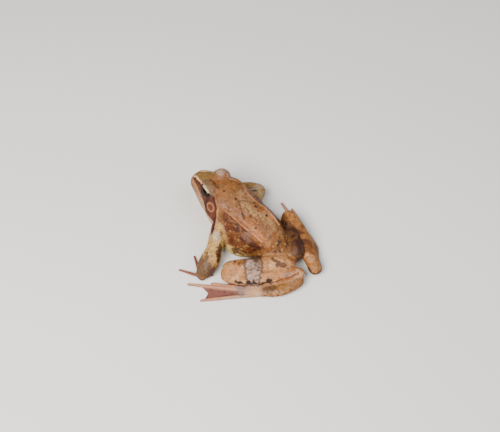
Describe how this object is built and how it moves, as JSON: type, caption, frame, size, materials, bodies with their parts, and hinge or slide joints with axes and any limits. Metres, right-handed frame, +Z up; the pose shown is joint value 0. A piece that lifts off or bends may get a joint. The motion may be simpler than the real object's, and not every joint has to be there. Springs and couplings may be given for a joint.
{
  "type": "common frog",
  "caption": "Life-size still model of a common frog sitting at rest, legs folded, head up and leaning a little to its right.",
  "frame": {"origin": "on the resting plane, under the middle of the bounding box", "axes": "+Z up; the frog faces -Y and its left side is towards +X"},
  "size_m": [0.0826, 0.0932, 0.0315],
  "materials": {
    "skin": "moist, finely granular",
    "eye": "wet gloss"
  },
  "bodies": {
    "root": {"trunk": "skin", "head": "skin", "lower_jaw": "skin", "eardrum_left": "skin", "upper_arm_left": "skin", "forearm_left": "skin", "hand_left": "skin", "finger_left_1": "skin", "finger_left_2": "skin", "finger_left_3": "skin", "finger_left_4": "skin", "thigh_left": "skin", "shank_left": "skin", "tarsus_left": "skin", "foot_left": "skin", "eardrum_right": "skin", "upper_arm_right": "skin", "forearm_right": "skin", "hand_right": "skin", "finger_right_1": "skin", "finger_right_2": "skin", "finger_right_3": "skin", "finger_right_4": "skin", "thigh_right": "skin", "shank_right": "skin", "tarsus_right": "skin", "foot_right": "skin", "eye_left": "eye", "eye_right": "eye"}
  },
  "joints": []
}
